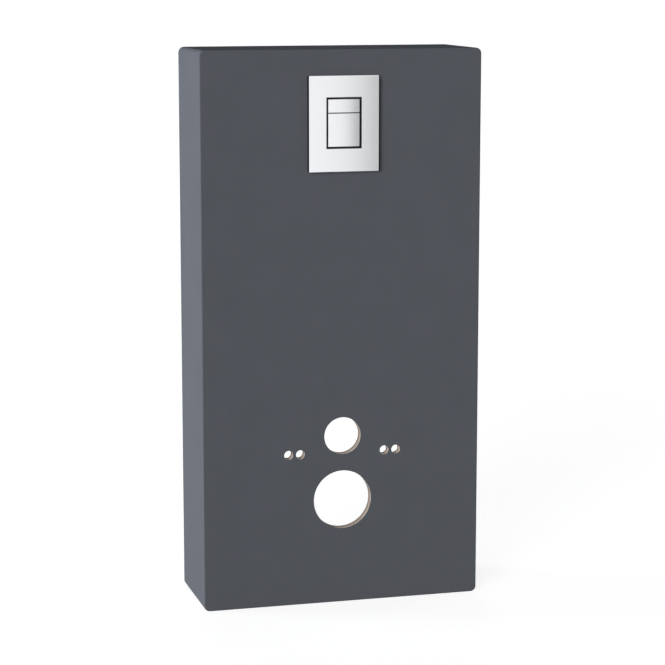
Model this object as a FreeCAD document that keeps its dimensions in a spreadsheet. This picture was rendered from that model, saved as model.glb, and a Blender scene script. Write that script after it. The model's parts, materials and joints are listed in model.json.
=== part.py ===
# A boxed-in installation frame for a wall-hung toilet: coated boards on the front, sides and top,
# a steel frame with a concealed cistern behind them, and a dual-flush plate on the front.
# Lengths are in millimetres. X runs across, Y from front to back, Z up from the floor.
import FreeCAD
import Part
import Sketcher
import math
import os
import re

SIZES = [
    ("overall_width", 590, "boarding, side to side"),
    ("overall_height", 1150, "boarding, floor to top"),
    ("cladding_depth", 210, "boarding, front face to wall"),
    ("board", 20, "thickness of each board"),
    ("corner_radius", 12, "rounding of the four corners seen from the front"),
    ("edge_radius", 3, "rounding round the front face"),
    ("stud_level", 320, "pan studs above the floor"),
    ("stud_bore", 19, "stud hole in the board"),
    ("stud_narrow", 180, "narrow stud spacing"),
    ("stud_wide", 230, "wide stud spacing"),
    ("waste_drop", 100, "waste opening below the studs"),
    ("waste_bore", 123, "waste opening across"),
    ("inlet_rise", 35, "flush inlet above the studs"),
    ("inlet_bore", 78, "flush inlet across"),
    ("plate_drop", 150, "middle of the flush plate below the top"),
    ("plate_width", 148, "flush plate across"),
    ("plate_tall", 194, "flush plate up"),
    ("plate_projection", 10, "flush plate in front of the board"),
    ("plate_wall", 2, "flush plate wall"),
    ("plate_corner", 3, "flush plate corners"),
    ("plate_edge", 1, "bevel round the plate's face"),
    ("window_width", 74, "opening for the keys across"),
    ("window_tall", 104, "opening for the keys up"),
    ("window_rise", 2, "opening's middle above the plate's middle"),
    ("key_gap", 4, "dark gap round the keys"),
    ("key_split", 2, "gap between the two keys"),
    ("small_key_tall", 27, "small key up"),
    ("key_thickness", 5, "key front to back at its crown"),
    ("key_crown", 0.6, "bulge of a key's face"),
    ("key_edge", 0.6, "bevel round a key's face"),
    ("key_travel", 6, "how far a key presses in"),
    ("key_room", 5, "left behind a pressed key"),
    ("guide_pin", 6, "guide pin behind a key"),
    ("guide_spacing", 40, "between the two guide pins of a key"),
    ("guide_clearance", 0.2, "gap round a guide pin"),
    ("guide_reach", 3, "guide pin beyond the tray floor"),
    ("tray_wall", 2.5, "wall of the dark tray behind the keys"),
    ("tray_floor", 3, "tray floor thickness"),
    ("flange_thickness", 2, "tray flange on the board"),
    ("flange_clearance", 0.3, "tray flange inside the plate"),
    ("hatch_side_margin", 15.5, "service cut-out beyond the tray, each side"),
    ("hatch_end_margin", 10.5, "service cut-out beyond the tray, above and below"),
    ("shaft_wall", 2.5, "wall of the service shaft"),
    ("shaft_clearance", 0.5, "service shaft inside the cut-out"),
    ("shaft_gap", 2, "between the tray and the service shaft"),
    ("frame_side_gap", 25, "steel frame inside the side boards"),
    ("frame_top_gap", 6, "steel frame under the top board"),
    ("profile", 40, "steel section, both ways"),
    ("profile_wall", 2.5, "steel section wall"),
    ("profile_lip", 9, "turned-in lip of an upright"),
    ("profile_bend", 3, "outside bend of a steel section"),
    ("upright_bottom", 150, "lower end of an upright"),
    ("slot_wide", 9, "slots along an upright, across"),
    ("slot_tall", 28, "slots along an upright, up"),
    ("slot_margin", 63, "lowest slot above the leg, and highest below the top"),
    ("slot_count", 3, "number of those slots"),
    ("leg_clearance", 0.3, "telescopic leg inside the upright"),
    ("leg_wall", 2.5, "telescopic leg wall"),
    ("leg_overlap", 190, "telescopic leg inside the upright, length"),
    ("foot_width", 60, "foot plate across"),
    ("foot_thickness", 5, "foot plate thickness"),
    ("foot_setback", 2, "foot plate behind the front board"),
    ("foot_margin", 18, "foot plate behind its last anchor hole"),
    ("foot_corner", 8, "foot plate corners"),
    ("anchor_bore", 11, "floor anchor hole"),
    ("anchor_gap", 22, "front anchor hole behind the upright"),
    ("anchor_spacing", 48, "between the anchor holes of a foot"),
    ("rail_wall", 3, "wall of the stud and lower rails"),
    ("rail_depth", 30, "stud and lower rails, front to back"),
    ("stud_rail_below", 40, "stud rail below the studs"),
    ("stud_rail_above", 30, "stud rail above the studs"),
    ("stud_slot_margin", 1.5, "stud slot beyond the board's holes, each way"),
    ("inlet_notch", 13, "stud rail's dip beyond the flush inlet"),
    ("lower_rail_gap", 30.5, "lower rail under the waste opening"),
    ("lower_rail_tall", 40, "lower rail, up"),
    ("middle_rail_gap", 16, "middle rail under the cistern"),
    ("tank_tall", 454, "cistern under its lid"),
    ("tank_setback", 6, "cistern behind the front board"),
    ("tank_back_gap", 46, "cistern in front of the wall"),
    ("tank_side_gap", 15, "cistern beside the uprights"),
    ("tank_foot_inset", 70, "cistern drawn in at its lower end, each side"),
    ("tank_taper", 80, "height of the tapered lower end"),
    ("tank_corner", 24, "cistern corners seen from the back"),
    ("tank_edge", 9, "rounded edge round the cistern's back"),
    ("tank_wall", 6, "cistern wall"),
    ("seam_reach", 3, "weld seam beyond the cistern's sides"),
    ("seam_thickness", 6, "weld seam, front to back"),
    ("groove_width", 26, "stiffening groove across"),
    ("groove_depth", 5, "stiffening groove depth"),
    ("groove_foot", 38, "stiffening grooves above the taper"),
    ("groove_head", 56, "stiffening grooves below the lid"),
    ("groove_pitch", 84, "between stiffening grooves"),
    ("groove_count", 4, "number of stiffening grooves"),
    ("groove_round", 8, "corners of a stiffening groove"),
    ("lid_gap", 3, "lid under the top rail"),
    ("lid_overhang", 3, "lid beyond the cistern"),
    ("lid_tall", 15, "lid thickness"),
    ("lid_corner", 14, "lid corners seen from above"),
    ("lid_edge", 3, "bevel of the lid's top edge"),
    ("lug_clearance", 2, "cistern lug beside its bracket"),
    ("lug_tall", 18, "cistern lug, up"),
    ("lug_depth", 36, "cistern lug, front to back"),
    ("lug_setback", 50, "cistern lug behind the front board"),
    ("bracket_drop", 186, "cistern bracket's shelf below the lid"),
    ("bracket_tall", 70, "cistern bracket, up"),
    ("bracket_margin", 8, "cistern bracket beyond the lug, each way"),
    ("bracket_wall", 3, "cistern bracket sheet"),
    ("bracket_clearance", 0.5, "cistern bracket to weld seam"),
    ("outlet_bore", 44, "flush outlet inside"),
    ("outlet_wall", 5, "flush outlet wall"),
    ("outlet_length", 44, "flush outlet below the cistern"),
    ("outlet_flange", 82, "flush outlet flange across"),
    ("outlet_flange_thickness", 6, "flush outlet flange"),
    ("nut_across", 66, "outlet nut across its points"),
    ("nut_tall", 24, "outlet nut"),
    ("nut_drop", 3, "outlet nut below the flange"),
    ("nut_clearance", 0.3, "outlet nut round the outlet"),
    ("nut_sides", 12, "sides of the outlet nut"),
    ("outlet_clear", 2, "outlet nut behind the middle rail"),
    ("supply_thread", 20.8, "water supply thread across"),
    ("supply_bore", 13, "water supply inside"),
    ("supply_reach", 16, "water supply thread length"),
    ("supply_hexagon", 31, "water supply hexagon across its points"),
    ("supply_hexagon_long", 10, "water supply hexagon, front to back"),
    ("supply_inset", 55, "water supply inside the cistern's side"),
    ("supply_drop", 30, "water supply below the lid"),
    ("wall_fixing_drop", 84, "wall fixings below the frame's top"),
    ("bar_diameter", 12, "threaded wall bar across"),
    ("bar_grip", 46, "threaded wall bar inside the sleeve"),
    ("bar_clearance", 0.3, "gap round the wall bar"),
    ("clamp_width", 34, "clamp plate on the upright, both ways"),
    ("clamp_thickness", 4, "clamp plate"),
    ("sleeve_diameter", 20, "wall sleeve across"),
    ("sleeve_length", 58, "wall sleeve"),
    ("wall_plate_width", 38, "wall plate across"),
    ("wall_plate_tall", 84, "wall plate up"),
    ("wall_plate_thickness", 4, "wall plate"),
    ("wall_anchor_bore", 9, "wall anchor hole"),
    ("wall_anchor_spacing", 56, "between the anchor holes of a wall plate"),
    ("overshoot", 1, "cutting tools beyond the faces they cut"),
]

# Positions that several pieces share, as formulas over the sizes above.
ROW_SHIFT = "(plate_projection - cladding_depth) / 2"
WASTE_LEVEL = "(stud_level - waste_drop)"
INLET_LEVEL = "(stud_level + inlet_rise)"
PLATE_LEVEL = "(overall_height - plate_drop)"
WINDOW_LEVEL = "(%s + window_rise)" % PLATE_LEVEL
HATCH_WIDTH = "(window_width + 2 * tray_wall + 2 * hatch_side_margin)"
HATCH_TALL = "(window_tall + 2 * tray_wall + 2 * hatch_end_margin)"
SHAFT_WIDTH = "(%s - 2 * shaft_clearance)" % HATCH_WIDTH
SHAFT_TALL = "(%s - 2 * shaft_clearance)" % HATCH_TALL
KEY_WIDTH = "(window_width - 2 * key_gap)"
KEYS_BOTTOM = "(%s - window_tall / 2 + key_gap)" % WINDOW_LEVEL
KEYS_TOP = "(%s + window_tall / 2 - key_gap)" % WINDOW_LEVEL
SMALL_KEY_BOTTOM = "(%s - small_key_tall)" % KEYS_TOP
FULL_KEY_TOP = "(%s - key_split)" % SMALL_KEY_BOTTOM
SMALL_KEY_LEVEL = "((%s + %s) / 2)" % (SMALL_KEY_BOTTOM, KEYS_TOP)
FULL_KEY_LEVEL = "((%s + %s) / 2)" % (KEYS_BOTTOM, FULL_KEY_TOP)
KEY_BACK = "(key_thickness - plate_projection)"
TRAY_FLOOR_FRONT = "(%s + key_travel + key_room)" % KEY_BACK
TRAY_BACK = "(%s + tray_floor)" % TRAY_FLOOR_FRONT
FRAME_TOP = "(overall_height - board - frame_top_gap)"
FRAME_HALF = "(overall_width / 2 - board - frame_side_gap)"
RAIL_HALF = "(%s - profile)" % FRAME_HALF
UPRIGHT_X = "(%s - profile / 2)" % FRAME_HALF
UPRIGHT_Y = "(board + profile / 2)"
UPRIGHT_BACK = "(board + profile)"
LEG = "(profile - 2 * profile_wall - 2 * leg_clearance)"
LEG_TOP = "(upright_bottom + leg_overlap)"
LEG_INSIDE = "(%s - %s / 2)" % (UPRIGHT_X, LEG)
FIRST_ANCHOR = "(%s + anchor_gap)" % UPRIGHT_BACK
LAST_ANCHOR = "(%s + anchor_spacing)" % FIRST_ANCHOR
LOWER_RAIL_TOP = "(%s - waste_bore / 2 - lower_rail_gap)" % WASTE_LEVEL
TANK_TOP = "(%s - profile - lid_gap - lid_tall)" % FRAME_TOP
TANK_BOTTOM = "(%s - tank_tall)" % TANK_TOP
TANK_SHOULDER = "(%s + tank_taper)" % TANK_BOTTOM
TANK_HALF = "(%s - tank_side_gap)" % RAIL_HALF
TANK_FOOT_HALF = "(%s - tank_foot_inset)" % TANK_HALF
TANK_FRONT = "(board + tank_setback)"
TANK_BACK = "(cladding_depth - tank_back_gap)"
TANK_MIDDLE = "((%s + %s) / 2)" % (TANK_FRONT, TANK_BACK)
TANK_DEPTH = "(%s - %s)" % (TANK_BACK, TANK_FRONT)
BRACKET_LEVEL = "(%s - bracket_drop)" % TANK_TOP
BRACKET_SHELF = "(%s + bracket_wall)" % BRACKET_LEVEL
MIDDLE_RAIL_TOP = "(%s - middle_rail_gap)" % TANK_BOTTOM
OUTLET_Y = "(%s + outlet_clear + nut_across / 2)" % UPRIGHT_BACK
OUTLET_SHOULDER = "(%s - outlet_flange_thickness)" % TANK_BOTTOM
SUPPLY_X = "(supply_inset - %s)" % TANK_HALF
SUPPLY_LEVEL = "(%s - supply_drop)" % TANK_TOP
WALL_FIXING_LEVEL = "(%s - wall_fixing_drop)" % FRAME_TOP
WALL_PLATE_FRONT = "(cladding_depth - wall_plate_thickness)"
SLEEVE_FRONT = "(%s - sleeve_length)" % WALL_PLATE_FRONT

doc = FreeCAD.newDocument("toilet_frame")
sheet = doc.addObject("Spreadsheet::Sheet", "sizes")
for row, (alias, value, note) in enumerate(SIZES, start=1):
    sheet.set("A%d" % row, note)
    sheet.set("B%d" % row, str(value))
    sheet.setAlias("B%d" % row, alias)
doc.recompute()

nodes = []


def cells(formula):
    return re.sub(r"[a-z][a-z0-9_]*", lambda word: "sizes." + word.group(0), formula)


def number(formula):
    return float(sheet.evalExpression(cells(formula)))


def bind(thing, path, formula):
    thing.setExpression(path, cells(formula))


def place(thing, x, y, z):
    for axis, formula in zip("xyz", (x, y, z)):
        bind(thing, "Placement.Base." + axis, formula)


# A finished sub-part takes its label and its place in the row's frame.
def seat(thing, label, y=None):
    bind(thing, "Placement.Base.y", ROW_SHIFT if y is None else "%s + %s" % (y, ROW_SHIFT))
    thing.Label = label
    nodes.append(thing)
    return thing


def mirrored(thing, label):
    twin = doc.addObject("Part::Mirroring", label)
    twin.Source = thing
    twin.Base = FreeCAD.Vector(0, 0, 0)
    twin.Normal = FreeCAD.Vector(1, 0, 0)
    twin.Label = label
    nodes.append(twin)


# Solid primitives and the ways they are joined.
def block(name, x, y, z, across, deep, tall):
    box = doc.addObject("Part::Box", name)
    bind(box, "Length", across)
    bind(box, "Width", deep)
    bind(box, "Height", tall)
    place(box, x, y, z)
    return box


def upright_cylinder(name, x, y, z, diameter, tall):
    cylinder = doc.addObject("Part::Cylinder", name)
    bind(cylinder, "Radius", "(%s) / 2" % diameter)
    bind(cylinder, "Height", tall)
    place(cylinder, x, y, z)
    return cylinder


def prism(name, x, y, z, across_points, sides, tall):
    solid = doc.addObject("Part::Prism", name)
    bind(solid, "Circumradius", "(%s) / 2" % across_points)
    bind(solid, "Polygon", sides)
    bind(solid, "Height", tall)
    place(solid, x, y, z)
    return solid


def laid_back(solid):
    solid.Placement.Rotation = FreeCAD.Rotation(FreeCAD.Vector(1, 0, 0), -90)
    return solid


def level_cylinder(name, x, y, z, diameter, deep):
    return laid_back(upright_cylinder(name, x, y, z, diameter, deep))


def fused(name, shapes):
    union = doc.addObject("Part::MultiFuse", name)
    union.Shapes = shapes
    return union


def cut(name, base, tool):
    result = doc.addObject("Part::Cut", name)
    result.Base = base
    result.Tool = tool
    return result


def common(name, base, tool):
    result = doc.addObject("Part::Common", name)
    result.Base = base
    result.Tool = tool
    return result


# Bodies built from sketches.
def origin_part(body, role):
    return [feature for feature in body.Origin.OriginFeatures if feature.Role == role][0]


def new_sketch(body, name, plane, offset):
    sketch = body.newObject("Sketcher::SketchObject", name)
    sketch.AttachmentSupport = (origin_part(body, plane), "")
    sketch.MapMode = "FlatFace"
    bind(sketch, "AttachmentOffset.Base.z", offset)
    return sketch


def pin_point(sketch, geometry, end, x, y):
    for kind, axis, formula in (("DistanceX", -2, x), ("DistanceY", -1, y)):
        if formula == "0":
            sketch.addConstraint(Sketcher.Constraint("PointOnObject", geometry, end, axis))
        else:
            size = number(formula)
            index = sketch.addConstraint(Sketcher.Constraint(kind, -1, 1, geometry, end, size))
            bind(sketch, "Constraints[%d]" % index, formula)


def add_loop(sketch, points):
    first = sketch.GeometryCount
    count = len(points)
    corners = [FreeCAD.Vector(number(x), number(y), 0) for x, y in points]
    for index in range(count):
        sketch.addGeometry(Part.LineSegment(corners[index], corners[(index + 1) % count]))
    for index in range(count):
        following = first + (index + 1) % count
        sketch.addConstraint(Sketcher.Constraint("Coincident", first + index, 2, following, 1))
    for index, (x, y) in enumerate(points):
        pin_point(sketch, first + index, 1, x, y)


def add_rectangle(sketch, left, bottom, right, top):
    add_loop(sketch, [(left, bottom), (right, bottom), (right, top), (left, top)])


def add_circle(sketch, x, y, diameter):
    centre = FreeCAD.Vector(number(x), number(y), 0)
    circle = Part.Circle(centre, FreeCAD.Vector(0, 0, 1), number(diameter) / 2)
    index = sketch.addGeometry(circle)
    pin_point(sketch, index, 3, x, y)
    size = Sketcher.Constraint("Diameter", index, number(diameter))
    bind(sketch, "Constraints[%d]" % sketch.addConstraint(size), diameter)


def sketched(body, name, kind, sketch, length, backward=False):
    feature = body.newObject("PartDesign::" + kind, name)
    feature.Profile = sketch
    bind(feature, "Length", length)
    feature.Reversed = backward
    doc.recompute()
    return feature


def repeated(body, name, original, axis, spacing, count):
    pattern = body.newObject("PartDesign::LinearPattern", name)
    pattern.Originals = [original]
    pattern.Direction = (origin_part(body, axis), [""])
    bind(pattern, "Length", "%s * (%s - 1)" % (spacing, count))
    bind(pattern, "Occurrences", count)
    body.Tip = pattern
    doc.recompute()


def eased(body, name, kind, sizes_path, size, wanted):
    base = body.Tip
    edges = ["Edge%d" % index for index, edge in enumerate(base.Shape.Edges, start=1) if wanted(edge)]
    feature = body.newObject("PartDesign::" + kind, name)
    feature.Base = (base, edges)
    bind(feature, sizes_path, size)
    doc.recompute()


def rounded(body, name, radius, wanted):
    eased(body, name, "Fillet", "Radius", radius, wanted)


def bevelled(body, name, size, wanted):
    eased(body, name, "Chamfer", "Size", size, wanted)


# Edges are picked by where they lie: each limit is an axis with its lowest and highest formula.
def edges_within(*limits):
    bounds = [(axis, number(low), number(high)) for axis, low, high in limits]

    def wanted(edge):
        box = edge.BoundBox
        low = (box.XMin, box.YMin, box.ZMin)
        high = (box.XMax, box.YMax, box.ZMax)
        return all(low[axis] > least - 0.01 and high[axis] < most + 0.01 for axis, least, most in bounds)
    return wanted


def runs_along(axis):
    def wanted(edge):
        spans = (edge.BoundBox.XLength, edge.BoundBox.YLength, edge.BoundBox.ZLength)
        return spans[axis] > 0.01 and sum(spans) - spans[axis] < 0.01
    return wanted


def both(first, second):
    return lambda edge: first(edge) and second(edge)


# Boarding: one rounded box outline, parted into mitred boards.
def cladding_outline():
    body = doc.addObject("PartDesign::Body", "cladding_outline")
    sketch = new_sketch(body, "cladding_face", "XZ_Plane", "0")
    add_rectangle(sketch, "-overall_width / 2", "0", "overall_width / 2", "overall_height")
    sketched(body, "cladding_block", "Pad", sketch, "cladding_depth", backward=True)
    rounded(body, "cladding_corners", "corner_radius", runs_along(1))
    rounded(body, "cladding_arris", "edge_radius", edges_within((1, "0", "0")))
    return body


def mitred_slab(name, outer_x, outer_z, inner_x, inner_z):
    wedge = doc.addObject("Part::Wedge", name)
    bind(wedge, "Ymin", "0")
    bind(wedge, "Ymax", "board")
    for prefix, spans in (("", (outer_x, outer_z)), ("2", (inner_x, inner_z))):
        for axis, (low, high) in zip("XZ", spans):
            bind(wedge, axis + prefix + "min", low)
            bind(wedge, axis + prefix + "max", high)
    return wedge


def front_panel(outline):
    half = "overall_width / 2"
    slab = mitred_slab(
        "front_slab",
        ("-" + half, half), ("0", "overall_height"),
        ("board - " + half, half + " - board"), ("0", "overall_height - board"))
    start = "-overshoot"
    through = "board + 2 * overshoot"
    openings = [
        level_cylinder("waste_hole", "0", start, WASTE_LEVEL, "waste_bore", through),
        level_cylinder("inlet_hole", "0", start, INLET_LEVEL, "inlet_bore", through),
        block("hatch", "-%s / 2" % HATCH_WIDTH, start, "%s - %s / 2" % (PLATE_LEVEL, HATCH_TALL),
              HATCH_WIDTH, through, HATCH_TALL),
    ]
    for spacing in ("stud_narrow", "stud_wide"):
        for side, sign in (("left", "-"), ("right", "")):
            openings.append(level_cylinder(
                "%s_%s_hole" % (spacing, side), sign + spacing + " / 2", start,
                "stud_level", "stud_bore", through))
    board = common("front_board", outline, slab)
    return seat(cut("front_panel", board, fused("front_openings", openings)), "front_panel")


def left_side_panel(outline):
    slab = mitred_slab(
        "side_slab",
        ("-cladding_depth", "0"), ("0", "overall_height"),
        ("-cladding_depth", "-board"), ("0", "overall_height - board"))
    slab.Placement.Rotation = FreeCAD.Rotation(FreeCAD.Vector(0, 0, 1), -90)
    bind(slab, "Placement.Base.x", "-overall_width / 2")
    return seat(common("left_side_panel", outline, slab), "left_side_panel")


def top_panel(outline):
    half = "overall_width / 2"
    slab = mitred_slab(
        "top_slab",
        ("board - " + half, half + " - board"), ("-cladding_depth", "-board"),
        ("-" + half, half), ("-cladding_depth", "0"))
    slab.Placement.Rotation = FreeCAD.Rotation(FreeCAD.Vector(1, 0, 0), 90)
    bind(slab, "Placement.Base.z", "overall_height - board")
    return seat(common("top_panel", outline, slab), "top_panel")


# Flush plate, its dark tray and the two keys.
def flush_plate():
    body = doc.addObject("PartDesign::Body", "flush_plate")
    low, high = "%s - plate_tall / 2" % PLATE_LEVEL, "%s + plate_tall / 2" % PLATE_LEVEL
    face = new_sketch(body, "plate_face", "XZ_Plane", "0")
    add_rectangle(face, "-plate_width / 2", low, "plate_width / 2", high)
    sketched(body, "plate_block", "Pad", face, "plate_projection")
    rounded(body, "plate_corners", "plate_corner", runs_along(1))
    bevelled(body, "plate_arris", "plate_edge",
             edges_within((1, "-plate_projection", "-plate_projection")))
    hollow = new_sketch(body, "plate_hollow", "XZ_Plane", "0")
    add_rectangle(hollow, "plate_wall - plate_width / 2", low + " + plate_wall",
                  "plate_width / 2 - plate_wall", high + " - plate_wall")
    sketched(body, "plate_inside", "Pocket", hollow, "plate_projection - plate_wall", backward=True)
    window = new_sketch(body, "plate_window", "XZ_Plane", "0")
    add_rectangle(window, "-window_width / 2", WINDOW_LEVEL + " - window_tall / 2",
                  "window_width / 2", WINDOW_LEVEL + " + window_tall / 2")
    sketched(body, "plate_opening", "Pocket", window, "plate_projection + overshoot", backward=True)
    return seat(body, "flush_plate")


def key_tray():
    margin = "(plate_wall + flange_clearance)"
    flange = block("tray_flange", "%s - plate_width / 2" % margin, "-flange_thickness",
                   "%s - plate_tall / 2 + %s" % (PLATE_LEVEL, margin),
                   "plate_width - 2 * " + margin, "flange_thickness", "plate_tall - 2 * " + margin)
    front = "(plate_wall - plate_projection)"
    bottom = WINDOW_LEVEL + " - window_tall / 2"
    box = block("tray_box", "-window_width / 2 - tray_wall", front, bottom + " - tray_wall",
                "window_width + 2 * tray_wall", "%s - %s" % (TRAY_BACK, front),
                "window_tall + 2 * tray_wall")
    tools = [block("tray_hollow", "-window_width / 2", front + " - overshoot", bottom,
                   "window_width", "%s - %s + overshoot" % (TRAY_FLOOR_FRONT, front), "window_tall")]
    for key, level in (("small", SMALL_KEY_LEVEL), ("full", FULL_KEY_LEVEL)):
        for side, sign in (("left", "-"), ("right", "")):
            tools.append(level_cylinder(
                "%s_%s_guide" % (key, side), sign + "guide_spacing / 2", TRAY_FLOOR_FRONT + " - overshoot",
                level, "guide_pin + 2 * guide_clearance", "tray_floor + 2 * overshoot"))
    tray = cut("key_tray", fused("tray_outside", [flange, box]), fused("tray_inside", tools))
    return seat(tray, "key_tray")


# A key's plan is three straight sides and one shallow arc, its crowned face.
def key_plan(body, name, bottom):
    sketch = new_sketch(body, name + "_plan", "XY_Plane", bottom)
    half = KEY_WIDTH + " / 2"
    edge = "key_crown - plate_projection"
    corners = [("-" + half, edge), ("-" + half, KEY_BACK), (half, KEY_BACK), (half, edge)]
    points = [FreeCAD.Vector(number(x), number(y), 0) for x, y in corners]
    for start, end in zip(points, points[1:]):
        sketch.addGeometry(Part.LineSegment(start, end))
    bend = "(%s * %s / 4 + key_crown * key_crown) / (2 * key_crown)" % (KEY_WIDTH, KEY_WIDTH)
    radius = number(bend)
    lean = math.asin(points[3].x / radius)
    middle = FreeCAD.Vector(0, radius - number("plate_projection"), 0)
    circle = Part.Circle(middle, FreeCAD.Vector(0, 0, 1), radius)
    sketch.addGeometry(Part.ArcOfCircle(circle, 1.5 * math.pi - lean, 1.5 * math.pi + lean))
    for joint in ((0, 2, 1, 1), (1, 2, 2, 1), (2, 2, 3, 2), (0, 1, 3, 1)):
        sketch.addConstraint(Sketcher.Constraint("Coincident", *joint))
    for (geometry, end), corner in zip(((0, 1), (0, 2), (1, 2), (2, 2)), corners):
        pin_point(sketch, geometry, end, *corner)
    index = sketch.addConstraint(Sketcher.Constraint("Radius", 3, radius))
    bind(sketch, "Constraints[%d]" % index, bend)
    return sketch


def flush_key(name, bottom, top, level):
    body = doc.addObject("PartDesign::Body", name)
    plan = key_plan(body, name, bottom)
    sketched(body, name + "_cap", "Pad", plan, "%s - %s" % (top, bottom))
    bevelled(body, name + "_arris", "key_edge",
             edges_within((1, "-plate_projection", "key_crown - plate_projection")))
    pins = new_sketch(body, name + "_pins", "XZ_Plane", "-" + KEY_BACK)
    for sign in ("-", ""):
        add_circle(pins, sign + "guide_spacing / 2", level, "guide_pin")
    sketched(body, name + "_guides", "Pad", pins,
             "%s + guide_reach - %s" % (TRAY_BACK, KEY_BACK), backward=True)
    return seat(body, name)


def service_shaft():
    start = "(%s + shaft_gap)" % TRAY_BACK
    length = "(%s - %s)" % (TANK_FRONT, start)
    bottom = "%s - %s / 2" % (PLATE_LEVEL, SHAFT_TALL)
    outside = block("shaft_outside", "-%s / 2" % SHAFT_WIDTH, start, bottom, SHAFT_WIDTH, length, SHAFT_TALL)
    inside = block("shaft_inside", "shaft_wall - %s / 2" % SHAFT_WIDTH, start + " - overshoot",
                   bottom + " + shaft_wall", SHAFT_WIDTH + " - 2 * shaft_wall",
                   length + " + 2 * overshoot", SHAFT_TALL + " - 2 * shaft_wall")
    return seat(cut("service_shaft", outside, inside), "service_shaft")


# Steel frame.
def left_upright():
    body = doc.addObject("PartDesign::Body", "left_upright")
    left = "-" + FRAME_HALF
    section = [
        ("0", "0"), ("profile", "0"), ("profile", "profile"), ("profile - profile_lip", "profile"),
        ("profile - profile_lip", "profile - profile_wall"),
        ("profile - profile_wall", "profile - profile_wall"),
        ("profile - profile_wall", "profile_wall"), ("profile_wall", "profile_wall"),
        ("profile_wall", "profile - profile_wall"), ("profile_lip", "profile - profile_wall"),
        ("profile_lip", "profile"), ("0", "profile"),
    ]
    sketch = new_sketch(body, "upright_section", "XY_Plane", "upright_bottom")
    add_loop(sketch, [("%s + %s" % (left, x), "board + %s" % y) for x, y in section])
    sketched(body, "upright_length", "Pad", sketch, "%s - upright_bottom" % FRAME_TOP)
    for side, x in (("outer", left), ("inner", left + " + profile")):
        rounded(body, side + "_bends", "profile_bend", both(runs_along(2), edges_within((0, x, x))))
    slot = new_sketch(body, "upright_slot", "YZ_Plane", left + " - overshoot")
    lowest = "%s + slot_margin" % LEG_TOP
    add_rectangle(slot, UPRIGHT_Y + " - slot_wide / 2", lowest, UPRIGHT_Y + " + slot_wide / 2",
                  lowest + " + slot_tall")
    first = sketched(body, "first_slot", "Pocket", slot, "profile + 2 * overshoot", backward=True)
    pitch = "(%s - slot_margin - slot_tall - (%s)) / (slot_count - 1)" % (FRAME_TOP, lowest)
    repeated(body, "slots", first, "Z_Axis", pitch, "slot_count")
    return seat(body, "left_upright")


def left_foot():
    body = doc.addObject("PartDesign::Body", "left_foot")
    plate = new_sketch(body, "foot_outline", "XY_Plane", "0")
    add_rectangle(plate, "-%s - foot_width / 2" % UPRIGHT_X, "board + foot_setback",
                  "foot_width / 2 - %s" % UPRIGHT_X, LAST_ANCHOR + " + foot_margin")
    sketched(body, "foot_plate", "Pad", plate, "foot_thickness")
    rounded(body, "foot_corners", "foot_corner",
            both(runs_along(2), edges_within((1, LAST_ANCHOR, LAST_ANCHOR + " + foot_margin"))))
    anchors = new_sketch(body, "anchor_places", "XY_Plane", "0")
    for anchor in (FIRST_ANCHOR, LAST_ANCHOR):
        add_circle(anchors, "-" + UPRIGHT_X, anchor, "anchor_bore")
    sketched(body, "anchor_holes", "Pocket", anchors, "foot_thickness + overshoot", backward=True)
    tube = new_sketch(body, "leg_section", "XY_Plane", "foot_thickness")
    for inset in ("0", "leg_wall"):
        half = "(%s / 2 - %s)" % (LEG, inset)
        add_rectangle(tube, "-%s - %s" % (UPRIGHT_X, half), "%s - %s" % (UPRIGHT_Y, half),
                      "%s - %s" % (half, UPRIGHT_X), "%s + %s" % (UPRIGHT_Y, half))
    sketched(body, "leg_tube", "Pad", tube, LEG_TOP + " - foot_thickness")
    return seat(body, "left_foot")


def channel_rail(name, bottom, top, depth, wall, half=RAIL_HALF):
    body = doc.addObject("PartDesign::Body", name)
    back = "board + " + depth
    section = [
        ("board", bottom), (back, bottom), (back, "%s + %s" % (bottom, wall)),
        ("board + " + wall, "%s + %s" % (bottom, wall)), ("board + " + wall, "%s - %s" % (top, wall)),
        (back, "%s - %s" % (top, wall)), (back, top), ("board", top),
    ]
    sketch = new_sketch(body, name + "_section", "YZ_Plane", "-" + half)
    add_loop(sketch, section)
    sketched(body, name + "_length", "Pad", sketch, "2 * " + half)
    rounded(body, name + "_bends", "profile_bend", both(runs_along(0), edges_within((1, "board", "board"))))
    return body


def stud_rail():
    body = channel_rail("stud_rail", "(stud_level - stud_rail_below)", "(stud_level + stud_rail_above)",
                        "rail_depth", "rail_wall")
    slot = "(stud_bore + 2 * stud_slot_margin)"
    ends = new_sketch(body, "slot_ends", "XZ_Plane", "-board")
    for sign in ("-", ""):
        for spacing in ("stud_narrow", "stud_wide"):
            add_circle(ends, sign + spacing + " / 2", "stud_level", slot)
    sketched(body, "stud_holes", "Pocket", ends, "rail_wall + overshoot")
    middles = new_sketch(body, "slot_middles", "XZ_Plane", "-board")
    for sign in ("-", ""):
        add_rectangle(middles, sign + "stud_narrow / 2", "stud_level - %s / 2" % slot,
                      sign + "stud_wide / 2", "stud_level + %s / 2" % slot)
    sketched(body, "stud_slots", "Pocket", middles, "rail_wall + overshoot")
    dip = new_sketch(body, "inlet_dip", "XZ_Plane", "-board")
    add_circle(dip, "0", INLET_LEVEL, "inlet_bore + 2 * inlet_notch")
    sketched(body, "inlet_dip_cut", "Pocket", dip, "rail_depth + overshoot")
    return seat(body, "stud_rail")


def plain_rails():
    seat(channel_rail("top_rail", FRAME_TOP + " - profile", FRAME_TOP, "profile", "profile_wall"), "top_rail")
    seat(channel_rail("middle_rail", MIDDLE_RAIL_TOP + " - profile", MIDDLE_RAIL_TOP, "profile",
                      "profile_wall"), "middle_rail")
    seat(channel_rail("lower_rail", LOWER_RAIL_TOP + " - lower_rail_tall", LOWER_RAIL_TOP, "rail_depth",
                      "rail_wall", LEG_INSIDE), "lower_rail")


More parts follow.
